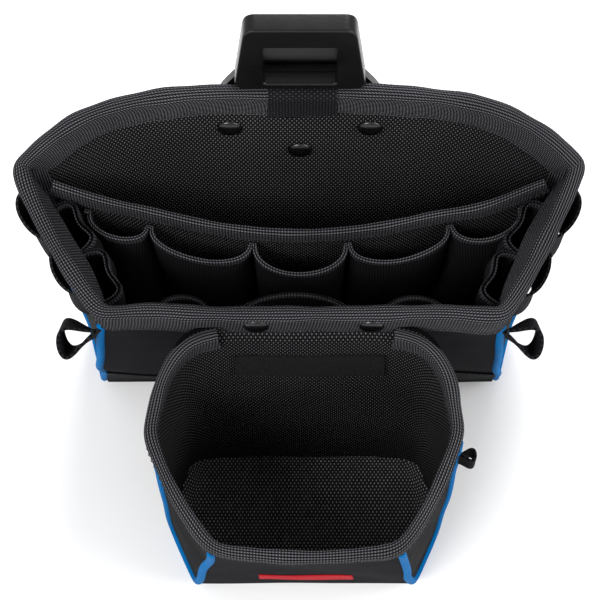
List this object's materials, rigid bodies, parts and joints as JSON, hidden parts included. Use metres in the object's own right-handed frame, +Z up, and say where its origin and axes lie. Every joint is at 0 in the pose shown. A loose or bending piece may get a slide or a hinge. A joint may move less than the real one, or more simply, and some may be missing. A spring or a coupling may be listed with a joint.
{
  "type": "electrician tool pouch",
  "caption": "Wide open-top fabric tool pouch with a divider, sewn tool loops, a smaller pouch hung on its front, blue piping and a moulded click holder with a handle at the back.",
  "frame": {"origin": "middle of the bounding box at the height of the base it stands on", "axes": "+Z up, -Y towards the front pouch and the open front, +Y towards the belt, +X to the right as seen from the front"},
  "size_m": [0.2944, 0.2188, 0.334],
  "materials": {
    "basket_weave": "coarse woven synthetic fabric, matt black",
    "coated_fabric": "black fabric with a smooth coating",
    "binding_tape": "ribbed charcoal binding tape",
    "webbing": "black woven webbing and elastic",
    "piping": "satin blue piping cord",
    "moulded_plastic": "black moulded plastic, fine satin grain",
    "dark_metal": "black lacquered steel, glossy",
    "spring_steel": "spring wire",
    "hook_loop": "black hook-and-loop pile",
    "label": "plain red woven label",
    "stiff_board": "polyethylene stiffening board"
  },
  "bodies": {
    "main_pouch": {"back_board": "stiff_board", "back_inner_skin": "basket_weave", "back_outer_skin": "basket_weave", "base_panel": "coated_fabric", "binding_back": "binding_tape", "binding_divider": "binding_tape", "binding_front": "binding_tape", "binding_left": "binding_tape", "binding_right": "binding_tape", "click_plate": "moulded_plastic", "divider": "coated_fabric", "divider_loop_1": "webbing", "divider_loop_2": "webbing", "divider_loop_3": "webbing", "divider_loop_4": "webbing", "divider_loop_5": "webbing", "front_apron": "coated_fabric", "front_elastic_panel": "webbing", "front_loop_1": "webbing", "front_loop_2": "webbing", "front_loop_3": "webbing", "front_panel": "basket_weave", "gusset_left": "basket_weave", "gusset_right": "basket_weave", "handle_frame": "moulded_plastic", "hanger_rivet_1": "dark_metal", "hanger_rivet_2": "dark_metal", "inner_loops_left": "webbing", "inner_loops_right": "webbing", "lever_pin": "dark_metal", "lever_spring": "spring_steel", "outer_loop_left_1": "webbing", "outer_loop_left_2": "webbing", "outer_loop_right_1": "webbing", "outer_loop_right_2": "webbing", "panel_rivet_1": "dark_metal", "panel_rivet_2": "dark_metal", "panel_rivet_3": "dark_metal", "piping_left": "piping", "piping_right": "piping", "pouch_hanger": "basket_weave", "rim_patch": "coated_fabric"},
    "front_pouch": {"pouch_back": "basket_weave", "pouch_base": "coated_fabric", "pouch_binding_front": "binding_tape", "pouch_binding_left": "binding_tape", "pouch_binding_right": "binding_tape", "pouch_binding_wing_left": "binding_tape", "pouch_binding_wing_right": "binding_tape", "pouch_front": "basket_weave", "pouch_gusset_left": "basket_weave", "pouch_gusset_right": "basket_weave", "pouch_piping_left": "piping", "pouch_piping_right": "piping", "pouch_side_tab": "webbing", "hook_loop_strip": "hook_loop", "front_label": "label"},
    "release_lever": {"release_lever": "moulded_plastic"},
    "tab_left": {"tab_loop_left": "webbing"},
    "tab_right": {"tab_loop_right": "webbing"}
  },
  "joints": [
    {"name": "front_pouch_swing", "type": "hinge", "parent": "main_pouch", "child": "front_pouch", "pos_m": [0.003, -0.00235, 0.195], "axis": [1, 0, 0], "range_deg": [-35, 0]},
    {"name": "release_lever_press", "type": "hinge", "parent": "main_pouch", "child": "release_lever", "pos_m": [0, 0.10345, 0.268], "axis": [-1, 0, 0], "range_deg": [0, 9], "stiffness_Nm_per_rad": 0.06, "springref_deg": -17.19},
    {"name": "tab_left_swing", "type": "hinge", "parent": "main_pouch", "child": "tab_left", "pos_m": [-0.10252, 0.00446, 0.17986], "axis": [0.0957, -0.0763, 0.9925], "range_deg": [0, 25], "stiffness_Nm_per_rad": 0.004},
    {"name": "tab_right_swing", "type": "hinge", "parent": "main_pouch", "child": "tab_right", "pos_m": [0.10252, 0.00446, 0.17986], "axis": [-0.0957, -0.0763, 0.9925], "range_deg": [-25, 0], "stiffness_Nm_per_rad": 0.004}
  ]
}
